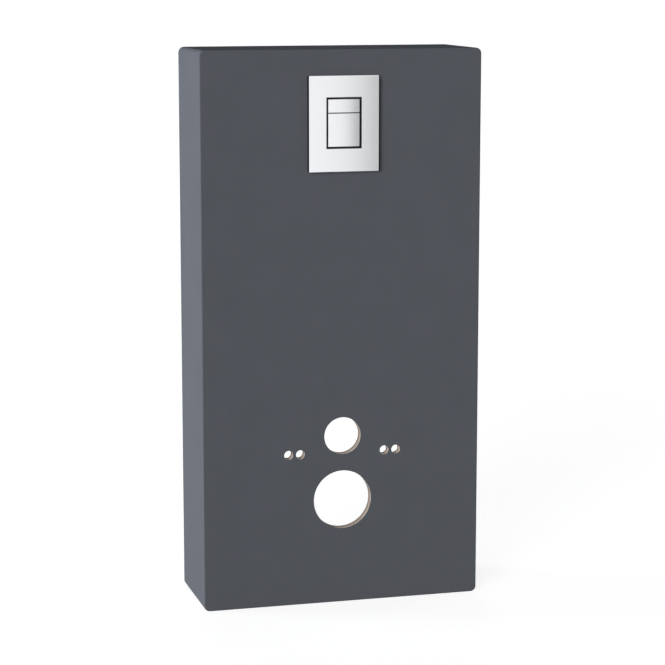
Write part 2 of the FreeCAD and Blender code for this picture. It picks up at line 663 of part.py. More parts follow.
# Concealed cistern and its fittings.
def tank_outline(sketch, spread):
    half = "(%s + %s)" % (TANK_HALF, spread)
    add_loop(sketch, [
        ("-" + TANK_FOOT_HALF, TANK_BOTTOM), (TANK_FOOT_HALF, TANK_BOTTOM), (half, TANK_SHOULDER),
        (half, TANK_TOP), ("-" + half, TANK_TOP), ("-" + half, TANK_SHOULDER),
    ])


# The inside follows the outside at the wall's thickness and is open under the lid.
def tank_inside(body):
    half = "(%s - tank_wall)" % TANK_HALF
    foot = "(%s - tank_wall * tank_foot_inset / tank_taper)" % TANK_FOOT_HALF
    shoulder = "(%s + 2 * tank_wall - tank_wall * tank_taper / tank_foot_inset)" % TANK_SHOULDER
    bottom, top = TANK_BOTTOM + " + tank_wall", TANK_TOP + " + overshoot"
    hollow = new_sketch(body, "tank_hollow", "XZ_Plane", "-%s - tank_wall" % TANK_FRONT)
    add_loop(hollow, [
        ("-" + foot, bottom), (foot, bottom), (half, shoulder), (half, top), ("-" + half, top),
        ("-" + half, shoulder),
    ])
    sketched(body, "tank_inside", "Pocket", hollow, "%s - 2 * tank_wall - groove_depth" % TANK_DEPTH)


# The service shaft, the flush outlet and the water supply open into the cistern.
def tank_openings(body):
    service = new_sketch(body, "service_opening", "XZ_Plane", "-" + TANK_FRONT)
    side, end = SHAFT_WIDTH + " / 2 - shaft_wall", SHAFT_TALL + " / 2 - shaft_wall"
    add_rectangle(service, "-(%s)" % side, "%s - (%s)" % (PLATE_LEVEL, end),
                  side, "%s + %s" % (PLATE_LEVEL, end))
    sketched(body, "service_hole", "Pocket", service, "tank_wall + overshoot")
    outlet = new_sketch(body, "outlet_opening", "XY_Plane", TANK_BOTTOM + " + tank_wall")
    add_circle(outlet, "0", OUTLET_Y, "outlet_bore")
    sketched(body, "outlet_hole", "Pocket", outlet, "tank_wall + overshoot")
    supply = new_sketch(body, "supply_opening", "XZ_Plane", "-" + TANK_BACK)
    add_circle(supply, SUPPLY_X, SUPPLY_LEVEL, "supply_bore")
    sketched(body, "supply_hole", "Pocket", supply, "groove_depth + tank_wall + overshoot", backward=True)


def cistern_tank():
    body = doc.addObject("PartDesign::Body", "cistern_tank")
    face = new_sketch(body, "tank_face", "XZ_Plane", "-" + TANK_FRONT)
    tank_outline(face, "0")
    sketched(body, "tank_block", "Pad", face, TANK_DEPTH, backward=True)
    below_lid = edges_within((2, TANK_BOTTOM, "%s - overshoot" % TANK_TOP))
    rounded(body, "tank_corners", "tank_corner", both(runs_along(1), below_lid))

    at_back = edges_within((1, TANK_BACK, TANK_BACK))

    def back_rim(edge):
        return at_back(edge) and edge.BoundBox.ZMin < number(TANK_TOP + " - overshoot")

    rounded(body, "tank_back_rim", "tank_edge", back_rim)
    groove = new_sketch(body, "tank_groove", "XZ_Plane", "-" + TANK_BACK)
    middle = "-groove_pitch * (groove_count - 1) / 2"
    add_rectangle(groove, middle + " - groove_width / 2", TANK_SHOULDER + " + groove_foot",
                  middle + " + groove_width / 2", TANK_TOP + " - groove_head")
    first = sketched(body, "first_groove", "Pocket", groove, "groove_depth", backward=True)
    repeated(body, "grooves", first, "X_Axis", "groove_pitch", "groove_count")
    rounded(body, "groove_corners", "groove_round",
            both(runs_along(1), edges_within((1, TANK_BACK + " - groove_depth", TANK_BACK))))
    seam = new_sketch(body, "tank_seam", "XZ_Plane", "-%s - seam_thickness / 2" % TANK_MIDDLE)
    tank_outline(seam, "seam_reach")
    sketched(body, "seam", "Pad", seam, "seam_thickness")
    lugs = new_sketch(body, "tank_lugs", "XZ_Plane", "-board - lug_setback")
    reach = "(%s + tank_side_gap - bracket_wall - lug_clearance)" % TANK_HALF
    for sign in ("-", ""):
        add_rectangle(lugs, sign + "(%s - overshoot)" % TANK_HALF, BRACKET_SHELF, sign + reach,
                      BRACKET_SHELF + " + lug_tall")
    sketched(body, "lugs", "Pad", lugs, "lug_depth", backward=True)
    tank_inside(body)
    tank_openings(body)
    return seat(body, "cistern_tank")


def cistern_lid():
    body = doc.addObject("PartDesign::Body", "cistern_lid")
    half = "(%s + lid_overhang)" % TANK_HALF
    plan = new_sketch(body, "lid_plan", "XY_Plane", TANK_TOP)
    add_rectangle(plan, "-" + half, TANK_FRONT, half, TANK_BACK + " + lid_overhang")
    sketched(body, "lid_block", "Pad", plan, "lid_tall")
    rounded(body, "lid_corners", "lid_corner", runs_along(2))
    bevelled(body, "lid_arris", "lid_edge",
             edges_within((2, TANK_TOP + " + lid_tall", TANK_TOP + " + lid_tall")))
    return seat(body, "cistern_lid")


def left_cistern_bracket():
    body = doc.addObject("PartDesign::Body", "left_cistern_bracket")
    sketch = new_sketch(body, "bracket_section", "XZ_Plane", "bracket_margin - board - lug_setback")
    outer = "-" + RAIL_HALF
    end = "-%s - seam_reach - bracket_clearance" % TANK_HALF
    add_loop(sketch, [
        (outer, BRACKET_LEVEL), (end, BRACKET_LEVEL), (end, BRACKET_SHELF),
        (outer + " + bracket_wall", BRACKET_SHELF),
        (outer + " + bracket_wall", BRACKET_LEVEL + " + bracket_tall"),
        (outer, BRACKET_LEVEL + " + bracket_tall"),
    ])
    sketched(body, "bracket_sheet", "Pad", sketch, "lug_depth + 2 * bracket_margin", backward=True)
    return seat(body, "left_cistern_bracket")


def flush_outlet():
    body = doc.addObject("PartDesign::Body", "flush_outlet")
    sketch = new_sketch(body, "outlet_section", "XZ_Plane", "0")
    neck = "outlet_bore / 2 + outlet_wall"
    bottom = TANK_BOTTOM + " - outlet_length"
    add_loop(sketch, [
        ("outlet_bore / 2", bottom), (neck, bottom), (neck, OUTLET_SHOULDER),
        ("outlet_flange / 2", OUTLET_SHOULDER), ("outlet_flange / 2", TANK_BOTTOM),
        ("outlet_bore / 2", TANK_BOTTOM),
    ])
    turned = body.newObject("PartDesign::Revolution", "outlet_turned")
    turned.Profile = sketch
    turned.ReferenceAxis = (sketch, ["V_Axis"])
    turned.Angle = 360
    doc.recompute()
    return seat(body, "flush_outlet", OUTLET_Y)


def outlet_nut():
    level = OUTLET_SHOULDER + " - nut_drop - nut_tall"
    outside = prism("nut_outside", "0", OUTLET_Y, level, "nut_across", "nut_sides", "nut_tall")
    inside = upright_cylinder("nut_inside", "0", OUTLET_Y, level + " - overshoot",
                              "outlet_bore + 2 * outlet_wall + 2 * nut_clearance",
                              "nut_tall + 2 * overshoot")
    return seat(cut("outlet_nut", outside, inside), "outlet_nut")


def supply_nipple():
    length = "supply_hexagon_long + supply_reach"
    hexagon = laid_back(prism("supply_hexagon_block", SUPPLY_X, TANK_BACK, SUPPLY_LEVEL, "supply_hexagon",
                              "6", "supply_hexagon_long"))
    thread = level_cylinder("supply_thread_block", SUPPLY_X, TANK_BACK, SUPPLY_LEVEL, "supply_thread", length)
    inside = level_cylinder("supply_inside", SUPPLY_X, TANK_BACK + " - overshoot", SUPPLY_LEVEL,
                            "supply_bore", length + " + 2 * overshoot")
    outside = fused("supply_outside", [hexagon, thread])
    return seat(cut("supply_nipple", outside, inside), "supply_nipple")


# Wall fixings.
def left_wall_bar():
    x = "-" + UPRIGHT_X
    clamp = block("bar_clamp", x + " - clamp_width / 2", UPRIGHT_BACK,
                  WALL_FIXING_LEVEL + " - clamp_width / 2", "clamp_width", "clamp_thickness", "clamp_width")
    bar = level_cylinder("bar", x, UPRIGHT_BACK, WALL_FIXING_LEVEL, "bar_diameter",
                         "%s + bar_grip - %s" % (SLEEVE_FRONT, UPRIGHT_BACK))
    return seat(fused("left_wall_bar", [clamp, bar]), "left_wall_bar")


def left_wall_bracket():
    x = "-" + UPRIGHT_X
    plate = block("wall_plate", x + " - wall_plate_width / 2", WALL_PLATE_FRONT,
                  WALL_FIXING_LEVEL + " - wall_plate_tall / 2",
                  "wall_plate_width", "wall_plate_thickness", "wall_plate_tall")
    sleeve = level_cylinder("sleeve", x, SLEEVE_FRONT, WALL_FIXING_LEVEL, "sleeve_diameter", "sleeve_length")
    tools = [level_cylinder("sleeve_inside", x, SLEEVE_FRONT + " - overshoot", WALL_FIXING_LEVEL,
                            "bar_diameter + 2 * bar_clearance", "sleeve_length + overshoot")]
    for name, sign in (("lower", "-"), ("upper", "+")):
        tools.append(level_cylinder(
            name + "_wall_anchor", x, WALL_PLATE_FRONT + " - overshoot",
            "%s %s wall_anchor_spacing / 2" % (WALL_FIXING_LEVEL, sign), "wall_anchor_bore",
            "wall_plate_thickness + 2 * overshoot"))
    outside = fused("wall_bracket_outside", [plate, sleeve])
    return seat(cut("left_wall_bracket", outside, fused("wall_bracket_inside", tools)), "left_wall_bracket")


outline = cladding_outline()
front_panel(outline)
mirrored(left_side_panel(outline), "right_side_panel")
top_panel(outline)

flush_plate()
key_tray()
flush_key("small_flush_key", SMALL_KEY_BOTTOM, KEYS_TOP, SMALL_KEY_LEVEL)
flush_key("full_flush_key", KEYS_BOTTOM, FULL_KEY_TOP, FULL_KEY_LEVEL)
service_shaft()

mirrored(left_upright(), "right_upright")
mirrored(left_foot(), "right_foot")
plain_rails()
stud_rail()

cistern_tank()
cistern_lid()
mirrored(left_cistern_bracket(), "right_cistern_bracket")
flush_outlet()
outlet_nut()
supply_nipple()

mirrored(left_wall_bar(), "right_wall_bar")
mirrored(left_wall_bracket(), "right_wall_bracket")

doc.recompute()
for thing in doc.Objects:
    if "Invalid" in thing.State or "Error" in thing.State:
        raise RuntimeError("%s: %s" % (thing.Label, thing.State))
for thing in nodes:
    if thing.Shape.isNull() or not thing.Shape.isValid() or len(thing.Shape.Solids) != 1:
        raise RuntimeError("%s is not one valid solid" % thing.Label)

os.makedirs("parts", exist_ok=True)
for thing in nodes:
    thing.Shape.exportStep("parts/%s.step" % thing.Label)
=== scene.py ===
import bpy
import json
import math
from mathutils import Matrix, Vector


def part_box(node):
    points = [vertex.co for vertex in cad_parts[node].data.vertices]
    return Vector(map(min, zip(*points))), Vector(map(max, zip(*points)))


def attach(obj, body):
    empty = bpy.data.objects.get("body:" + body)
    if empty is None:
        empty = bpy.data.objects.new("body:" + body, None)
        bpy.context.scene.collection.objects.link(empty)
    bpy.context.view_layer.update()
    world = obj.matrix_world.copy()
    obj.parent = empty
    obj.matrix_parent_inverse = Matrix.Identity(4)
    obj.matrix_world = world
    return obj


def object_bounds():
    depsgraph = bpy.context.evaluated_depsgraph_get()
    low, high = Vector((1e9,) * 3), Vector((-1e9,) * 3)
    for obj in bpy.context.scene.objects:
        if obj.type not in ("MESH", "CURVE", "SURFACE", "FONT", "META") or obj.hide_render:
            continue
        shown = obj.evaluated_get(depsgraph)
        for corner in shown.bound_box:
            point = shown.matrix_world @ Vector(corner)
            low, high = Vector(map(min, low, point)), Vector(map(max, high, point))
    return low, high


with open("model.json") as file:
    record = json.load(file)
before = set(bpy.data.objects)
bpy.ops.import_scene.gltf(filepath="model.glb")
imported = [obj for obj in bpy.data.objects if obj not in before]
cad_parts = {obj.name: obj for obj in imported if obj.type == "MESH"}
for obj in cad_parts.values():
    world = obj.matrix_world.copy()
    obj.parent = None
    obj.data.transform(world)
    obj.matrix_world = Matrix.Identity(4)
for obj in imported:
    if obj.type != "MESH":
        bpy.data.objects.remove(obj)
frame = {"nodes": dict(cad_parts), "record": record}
nodes = frame["nodes"]
cad_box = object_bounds()

BODY = "frame"
MM = 0.001


# Node helpers. Those that make a texture return the socket that the next one takes.
def new_material(name, **values):
    material = bpy.data.materials.new(name)
    material.use_nodes = True
    shader = material.node_tree.nodes["Principled BSDF"]
    for key, value in values.items():
        shader.inputs[key.replace("_", " ").title().replace("Ior", "IOR")].default_value = value
    return material, shader


def add_node(tree, kind, **values):
    node = tree.nodes.new("ShaderNode" + kind)
    for key, value in values.items():
        setattr(node, key, value)
    return node


def surface_point(tree, stretch=(1, 1, 1)):
    point = add_node(tree, "TexCoord").outputs["Object"]
    if stretch == (1, 1, 1):
        return point
    mapping = add_node(tree, "Mapping")
    mapping.inputs["Scale"].default_value = stretch
    tree.links.new(point, mapping.inputs["Vector"])
    return mapping.outputs["Vector"]


# Noise whose grain is about as wide as the given size.
def noise(tree, grain, detail=3, stretch=(1, 1, 1)):
    texture = add_node(tree, "TexNoise")
    texture.inputs["Scale"].default_value = 1 / grain
    texture.inputs["Detail"].default_value = detail
    tree.links.new(surface_point(tree, stretch), texture.inputs["Vector"])
    return texture.outputs["Fac"]


def spread(tree, factor, low, high, start=0.3, end=0.7):
    spreader = add_node(tree, "MapRange")
    for key, value in (("From Min", start), ("From Max", end), ("To Min", low), ("To Max", high)):
        spreader.inputs[key].default_value = value
    tree.links.new(factor, spreader.inputs["Value"])
    return spreader.outputs["Result"]


# A share of one factor, added to another.
def blended(tree, factor, share, other):
    total = add_node(tree, "Math", operation="MULTIPLY_ADD")
    total.inputs[1].default_value = share
    tree.links.new(factor, total.inputs[0])
    tree.links.new(other, total.inputs[2])
    return total.outputs["Value"]


def shades(tree, factor, *stops):
    ramp = add_node(tree, "ValToRGB")
    elements = ramp.color_ramp.elements
    while len(elements) < len(stops):
        elements.new(0.5)
    for element, (position, colour) in zip(elements, stops):
        element.position = position
        element.color = (*colour, 1)
    tree.links.new(factor, ramp.inputs["Fac"])
    return ramp.outputs["Color"]


def tint(colour, factor):
    return tuple(channel * factor for channel in colour)


def coloured(tree, shader, factor, first, second, start=0.3, end=0.7):
    tree.links.new(shades(tree, factor, (start, first), (end, second)), shader.inputs["Base Color"])


def roughened(tree, shader, factor, low, high):
    tree.links.new(spread(tree, factor, low, high), shader.inputs["Roughness"])


def relief(tree, shader, height, depth, strength):
    bump = add_node(tree, "Bump")
    bump.inputs["Distance"].default_value = depth
    bump.inputs["Strength"].default_value = strength
    tree.links.new(height, bump.inputs["Height"])
    tree.links.new(bump.outputs["Normal"], shader.inputs["Normal"])


# Finishes. Colours are linear red, green and blue.
COAT = (0.106, 0.1135, 0.1285)
CORE = (0.66, 0.57, 0.5)
# CORE_SHADE is the core darkened as painted shade, used towards the back of the boards.
CORE_SHADE = (0.36, 0.29, 0.24)
CHROME = (0.9, 0.91, 0.93)
DARK_PLASTIC = (0.03, 0.03, 0.033)
# Almost black: painted shade and painted dark reflection for the plate's walls and upright edges.
PAINTED_PLATE_SHADE = ((0.008, 0.008, 0.009), (0.014, 0.014, 0.016))
PALE_PLASTIC = (0.62, 0.63, 0.64)
CISTERN_PLASTIC = (0.78, 0.79, 0.78)
PAINT = ((0.045, 0.082, 0.145), (0.055, 0.097, 0.17))
ZINC = ((0.56, 0.575, 0.59), (0.65, 0.66, 0.67))
BRASS = ((0.66, 0.48, 0.22), (0.76, 0.58, 0.29))


def mineral_coat():
    material, shader = new_material("mineral_coat", specular_ior_level=0.0)
    tree = material.node_tree
    clouds = noise(tree, 90 * MM, detail=5)
    grain = noise(tree, 1.2 * MM)
    speckle = blended(tree, grain, 0.8, spread(tree, clouds, 0, 0.2))
    coloured(tree, shader, speckle, tint(COAT, 0.92), tint(COAT, 1.08), start=0.2, end=0.8)
    roughened(tree, shader, grain, 0.62, 0.8)
    relief(tree, shader, grain, 0.08 * MM, 0.5)
    return material


# The core is pale towards the face of the front board and darker towards its back: painted shade deep in
# the holes and a painted highlight where their walls meet the lit face.
def board_core(face, board_back):
    material, shader = new_material("board_core", roughness=0.9, specular_ior_level=0.1)
    tree = material.node_tree
    cells = noise(tree, 2.2 * MM, detail=4)
    depth = add_node(tree, "SeparateXYZ")
    tree.links.new(surface_point(tree), depth.inputs["Vector"])
    # Painted shade: 0 at the board's face, 1 at its back and beyond.
    painted_depth_shade = spread(tree, depth.outputs["Y"], 0, 1, face, board_back)
    coloured(tree, shader, blended(tree, cells, 0.3, painted_depth_shade), CORE, CORE_SHADE, start=0.55, end=0.85)
    relief(tree, shader, cells, 0.4 * MM, 0.6)
    return material


def satin_chrome():
    material, shader = new_material("satin_chrome", base_color=(*CHROME, 1), metallic=1.0)
    tree = material.node_tree
    blast = noise(tree, 0.6 * MM)
    roughened(tree, shader, blast, 0.15, 0.22)
    return material


def dark_moulding():
    material, shader = new_material("dark_moulding", base_color=(*DARK_PLASTIC, 1))
    tree = material.node_tree
    grain = noise(tree, 0.9 * MM)
    roughened(tree, shader, grain, 0.45, 0.6)
    relief(tree, shader, grain, 0.05 * MM, 0.4)
    return material


# Painted shade and painted dark reflection on the plate's walls and upright edges, matt and almost black.
def plate_painted_shade():
    material, shader = new_material("plate_painted_shade", roughness=0.85, specular_ior_level=0.05)
    tree = material.node_tree
    shade_speckle = noise(tree, 0.9 * MM)
    coloured(tree, shader, shade_speckle, *PAINTED_PLATE_SHADE)
    relief(tree, shader, shade_speckle, 0.05 * MM, 0.4)
    return material


def pale_moulding(name, colour):
    material, shader = new_material(name)
    tree = material.node_tree
    clouds = noise(tree, 50 * MM)
    coloured(tree, shader, clouds, tint(colour, 0.95), colour)
    grain = noise(tree, 1.8 * MM)
    roughened(tree, shader, grain, 0.38, 0.52)
    relief(tree, shader, grain, 0.1 * MM, 0.35)
    return material


def powder_paint():
    material, shader = new_material("powder_paint")
    tree = material.node_tree
    clouds = noise(tree, 30 * MM)
    coloured(tree, shader, clouds, *PAINT)
    peel = noise(tree, 2.5 * MM, detail=1)
    roughened(tree, shader, peel, 0.3, 0.42)
    relief(tree, shader, peel, 0.12 * MM, 0.4)
    return material


def zinc_plate():
    material, shader = new_material("zinc_plate", metallic=1.0)
    tree = material.node_tree
    clouds = noise(tree, 14 * MM, detail=5)
    coloured(tree, shader, clouds, *ZINC)
    roughened(tree, shader, clouds, 0.26, 0.42)
    return material


def turned_brass():
    material, shader = new_material("turned_brass", metallic=1.0)
    tree = material.node_tree
    clouds = noise(tree, 6 * MM)
    coloured(tree, shader, clouds, *BRASS)
    turning = noise(tree, 0.7 * MM, stretch=(0.1, 1, 0.1))
    roughened(tree, shader, turning, 0.22, 0.36)
    return material


FINISHES = {
    "coated_board": mineral_coat(),
    "satin_chrome": satin_chrome(),
    "dark_plastic": dark_moulding(),
    "pale_plastic": pale_moulding("pale_moulding", PALE_PLASTIC),
    "cistern_plastic": pale_moulding("cistern_moulding", CISTERN_PLASTIC),
    "frame_paint": powder_paint(),
    "zinc_steel": zinc_plate(),
    "brass": turned_brass(),
}
for subpart in frame["record"]["subparts"]:
    nodes[subpart["node"]].material_slots[0].material = FINISHES[subpart["material_slot"]]


# A second finish on the faces of a node that a test of their normal and centre picks out.
def refinish(node, finish, is_picked):
    mesh = nodes[node].data
    mesh.materials.append(finish)
    for face in mesh.polygons:
        if is_picked(face.normal, face.center):
            face.material_index = 1


# Boards show their core wherever they are cut: at the holes, the mitres, the back and the floor.
front_low, front_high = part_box("front_panel")
WALL_PLANE = cad_box[1].y
BOARD_EDGE = 0.6 * (front_high.y - front_low.y)
ASLANT = 0.5
SQUARE = 0.9
MITRE_LEAST, MITRE_MOST = 0.6, 0.8
MITRE_SLACK = 0.05


def front_is_cut(normal, centre):
    inside = front_low.x + BOARD_EDGE < centre.x < front_high.x - BOARD_EDGE
    inside = inside and centre.z < front_high.z - BOARD_EDGE
    edge = abs(normal.y) < ASLANT and (inside or normal.z < -SQUARE)
    return edge or MITRE_LEAST < normal.y < MITRE_MOST


def side_is_cut(normal, centre):
    at_back = normal.y > SQUARE and centre.y > WALL_PLANE - MM
    mitre = abs(normal.x) > MITRE_LEAST and abs(abs(normal.x) - abs(normal.y)) < MITRE_SLACK
    return at_back or mitre or normal.z < -SQUARE


core_finish = board_core(front_low.y, front_high.y)
refinish("front_panel", core_finish, front_is_cut)
for board in ("left_side_panel", "right_side_panel", "top_panel"):
    refinish(board, core_finish, side_is_cut)


# The plate's face is metal, and the walls behind it and its two upright edges are painted dark: painted
# shade and painted dark reflection.
WALL_LEAN = 0.1


def is_painted_shade(normal, centre):
    wall = normal.y > -WALL_LEAN
    upright_edge = abs(normal.x) > ASLANT
    return wall or upright_edge


refinish("flush_plate", plate_painted_shade(), is_painted_shade)


# Small pieces. A shape is a list of points and a list of faces, skinned over rings of points.
ACROSS, BACK, UP = Vector((1, 0, 0)), Vector((0, 1, 0)), Vector((0, 0, 1))
ROUND_SIDES = 36
CORNER_STEPS = 6
THREAD_STEPS = 24
BEAD_STEPS = 4
CREASE = 25
BEAD_CREASE = 70


def skin(rings, looped=False):
    sides = len(rings[0])
    faces = []
    for row in range(len(rings) if looped else len(rings) - 1):
        here, there = row * sides, (row + 1) % len(rings) * sides
        for side in range(sides):
            after = (side + 1) % sides
            faces.append((here + side, here + after, there + after, there + side))
    if not looped:
        faces.append(tuple(reversed(range(sides))))
        faces.append(tuple(range(len(rings) * sides - sides, len(rings) * sides)))
    return [point for ring in rings for point in ring], faces


# Turns a shape's own upward axis to the given one.
def placed(shape, place, axis=UP):
    points, faces = shape
    turn = axis.to_track_quat("Z", "Y")
    return [turn @ point + Vector(place) for point in points], faces


def new_piece(name, slot, shapes, crease=CREASE):
    points, faces = [], []
    for shape_points, shape_faces in shapes:
        faces += [tuple(index + len(points) for index in face) for face in shape_faces]
        points += shape_points
    mesh = bpy.data.meshes.new(name)
    mesh.from_pydata(points, [], faces)
    mesh.materials.append(FINISHES[slot])
    mesh.shade_smooth()
    mesh.set_sharp_from_angle(angle=math.radians(crease))
    piece = bpy.data.objects.new(name, mesh)
    bpy.context.scene.collection.objects.link(piece)
    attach(piece, BODY)


def circle(radius, height):
    turns = [2 * math.pi * side / ROUND_SIDES for side in range(ROUND_SIDES)]
    return [Vector((radius * math.cos(turn), radius * math.sin(turn), height)) for turn in turns]


# The corners lie lower than the flats by the chamfer, as a share of how far they stand out.
def hexagon(across, height, chamfer=0.0):
    ring = []
    for side in range(ROUND_SIDES):
        turn = 2 * math.pi * side / ROUND_SIDES
        radius = across / 2 / math.cos((turn + math.pi / 6) % (math.pi / 3) - math.pi / 6)
        drop = chamfer * (radius - across / 2)
        ring.append(Vector((radius * math.cos(turn), radius * math.sin(turn), height - drop)))
    return ring


def rounded(wide, tall, radius, height):
    ring = []
    for quarter, (right, top) in enumerate(((1, 1), (-1, 1), (-1, -1), (1, -1))):
        middle = Vector((right * (wide / 2 - radius), top * (tall / 2 - radius), height))
        for step in range(CORNER_STEPS + 1):
            turn = math.pi / 2 * (quarter + step / CORNER_STEPS)
            ring.append(middle + radius * Vector((math.cos(turn), math.sin(turn), 0)))
    return ring


# Bolts and nuts have a chamfered hexagon under a round flat.
HEX_CHAMFER = 0.58
HEX_STEP = 0.02 * MM
FLAT_SHARE = 0.47
DISH_SHARE = 0.2
DISH_DEPTH = 0.1 * MM


def bolt_head(across, tall):
    return skin([hexagon(across, 0), hexagon(across, tall - HEX_STEP, HEX_CHAMFER),
                 circle(FLAT_SHARE * across, tall), circle(DISH_SHARE * across, tall - DISH_DEPTH)])


def nut(across, tall, bore):
    return skin([circle(bore, 0), hexagon(across, 0), hexagon(across, tall - HEX_STEP, HEX_CHAMFER),
                 circle(FLAT_SHARE * across, tall), circle(1.12 * bore, tall),
                 circle(bore, tall - 0.1 * bore)], looped=True)


def washer(bore, rim, tall):
    ease = 0.25 * tall
    return skin([circle(bore, 0), circle(rim - ease, 0), circle(rim, ease), circle(rim, tall - ease),
                 circle(rim - ease, tall), circle(bore, tall)], looped=True)


def bolted(place, axis, ring, head):
    yield placed(washer(**ring), place, axis)
    yield placed(bolt_head(**head), place + ring["tall"] * axis, axis)


# A rounded plate whose upper edge is eased in two steps.
def pad(wide, tall, thick, radius, ease):
    return skin([rounded(wide, tall, radius, 0), rounded(wide, tall, radius, thick - ease),
                 rounded(wide - 0.6 * ease, tall - 0.6 * ease, radius, thick - 0.3 * ease),
                 rounded(wide - 2 * ease, tall - 2 * ease, radius - 0.5 * ease, thick)])


# One ridge that winds round a rod and runs out at both ends.
def thread(radius, rise, pitch, long):
    count = round(long / pitch * THREAD_STEPS)
    root = radius - 0.2 * rise
    flank = 0.45 * pitch
    rings = []
    for step in range(count + 1):
        turn, level = 2 * math.pi * step / THREAD_STEPS, pitch * step / THREAD_STEPS
        crest = radius + rise * min(1, step / THREAD_STEPS, (count - step) / THREAD_STEPS)
        ring = ((root, level + flank), (crest, level), (root, level - flank))
        rings.append([Vector((r * math.cos(turn), r * math.sin(turn), h)) for r, h in ring])
    return skin(rings)


# A rippled bead laid in the corner between two faces, which leave it along first and second.
def bead(start, end, first, second, size, ripple, swell=0.1):
    start, end = Vector(start), Vector(end)
    steps = max(BEAD_STEPS, round((end - start).length / ripple * BEAD_STEPS))
    turned = (end - start).dot(first.cross(second)) < 0
    turns = [math.pi / 2 * part / BEAD_STEPS for part in range(BEAD_STEPS + 1)]
    arc = [first * math.cos(turn) + second * math.sin(turn) for turn in turns]
    rings = []
    for step in range(steps + 1):
        middle = start.lerp(end, step / steps)
        taper = min(1, 0.55 + 0.15 * min(step, steps - step))
        wave = math.sin(step * math.pi / 2 + 0.4 * math.sin(step))
        reach = size * taper * (1 - swell + swell * wave)
        ring = [middle] + [middle + reach * outward for outward in arc]
        rings.append(ring[::-1] if turned else ring)
    return skin(rings)


UPRIGHTS = [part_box(side + "_upright") for side in ("left", "right")]
UPRIGHT_X = [(low.x + high.x) / 2 for low, high in UPRIGHTS]
UPRIGHT_FOOT = UPRIGHTS[0][0].z
FRAME_BACK = UPRIGHTS[0][1].y
FRAME_MIDDLE = (UPRIGHTS[0][0].y + FRAME_BACK) / 2

# Sheet of the stud rail, the lower rail and the cistern brackets. The other two rails are 0.5 mm thinner.
SHEET = 3 * MM

RAIL_WELD = {"size": 3.2 * MM, "ripple": 2.6 * MM}


def rail_welds():
    for rail in ("top_rail", "middle_rail", "stud_rail", "lower_rail"):
        low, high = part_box(rail)
        front, rear = low.y + SHEET, high.y - SHEET
        for end in (low.x, high.x):
            inward = ACROSS if end < 0 else -ACROSS
            foot, head = (end, front, low.z + SHEET), (end, front, high.z - SHEET)
            yield bead(foot, head, inward, BACK, **RAIL_WELD)
            yield bead((end, front, low.z), (end, rear, low.z), inward, -UP, **RAIL_WELD)
            if rail != "top_rail":
                yield bead((end, front, high.z), (end, rear, high.z), inward, UP, **RAIL_WELD)


# Beads round three sides of each leg, on top of its foot plate.
LEG_HALF = 17.2 * MM
FOOT_PLATE = 5 * MM
FOOT_WELD = {"size": 4 * MM, "ripple": 3 * MM}


def foot_welds():
    run = LEG_HALF - SHEET
    rear = FRAME_MIDDLE + LEG_HALF
    for x in UPRIGHT_X:
        for way in (-1, 1):
            side = x + way * LEG_HALF
            start, end = (side, FRAME_MIDDLE - run, FOOT_PLATE), (side, FRAME_MIDDLE + run, FOOT_PLATE)
            yield bead(start, end, way * ACROSS, UP, **FOOT_WELD)
        yield bead((x - run, rear, FOOT_PLATE), (x + run, rear, FOOT_PLATE), BACK, UP, **FOOT_WELD)


# Each leg is held at its height by two clamped plates across the open back of the upright.
LOCK_LEVELS = (30 * MM, 150 * MM)
LOCK_PLATE = {"wide": 34 * MM, "tall": 28 * MM, "thick": 4 * MM, "radius": 4 * MM, "ease": 0.8 * MM}
LOCK_WASHER = {"bore": 5 * MM, "rim": 10 * MM, "tall": 2 * MM}
LOCK_BOLT = {"across": 15 * MM, "tall": 6.4 * MM}


def leg_locks():
    for x in UPRIGHT_X:
        for level in LOCK_LEVELS:
            place = Vector((x, FRAME_BACK, UPRIGHT_FOOT + level))
            yield placed(pad(**LOCK_PLATE), place, BACK)
            yield from bolted(place + LOCK_PLATE["thick"] * BACK, BACK, LOCK_WASHER, LOCK_BOLT)


# Each wall bar has a nut at its clamp, a nut at its sleeve and a thread from one to the other.
BAR_CLAMP = 4 * MM
BAR_WASHER = {"bore": 6.6 * MM, "rim": 12 * MM, "tall": 2.2 * MM}
BAR_NUT = {"across": 18 * MM, "tall": 9 * MM, "bore": 6.2 * MM}
BAR_THREAD = {"radius": 6 * MM, "rise": 0.6 * MM, "pitch": 1.75 * MM}
BAR_THREAD_START = 11 * MM


def bar_threads():
    for side in ("left", "right"):
        low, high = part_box(side + "_wall_bar")
        clamp = (low + high) / 2
        clamp.y = FRAME_BACK + BAR_CLAMP
        yield placed(washer(**BAR_WASHER), clamp, BACK)
        yield placed(nut(**BAR_NUT), clamp + BAR_WASHER["tall"] * BACK, BACK)
        sleeve = Vector((clamp.x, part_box(side + "_wall_bracket")[0].y, clamp.z))
        yield placed(nut(**BAR_NUT), sleeve, -BACK)
        start = clamp + BAR_THREAD_START * BACK
        long = sleeve.y - BAR_NUT["tall"] - start.y
        yield placed(thread(long=long, **BAR_THREAD), start, BACK)


BRACKET_WASHER = {"bore": 3 * MM, "rim": 7 * MM, "tall": 1.2 * MM}
BRACKET_BOLT = {"across": 8 * MM, "tall": 3.6 * MM}
BRACKET_BOLT_REACH = 13 * MM
BRACKET_BOLT_DROP = 18 * MM


def bracket_screws():
    for side, way in (("left", 1), ("right", -1)):
        low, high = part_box(side + "_cistern_bracket")
        inner = low.x + SHEET if way > 0 else high.x - SHEET
        middle = (low.y + high.y) / 2
        for depth in (-BRACKET_BOLT_REACH, BRACKET_BOLT_REACH):
            place = Vector((inner, middle + depth, high.z - BRACKET_BOLT_DROP))
            yield from bolted(place, way * ACROSS, BRACKET_WASHER, BRACKET_BOLT)


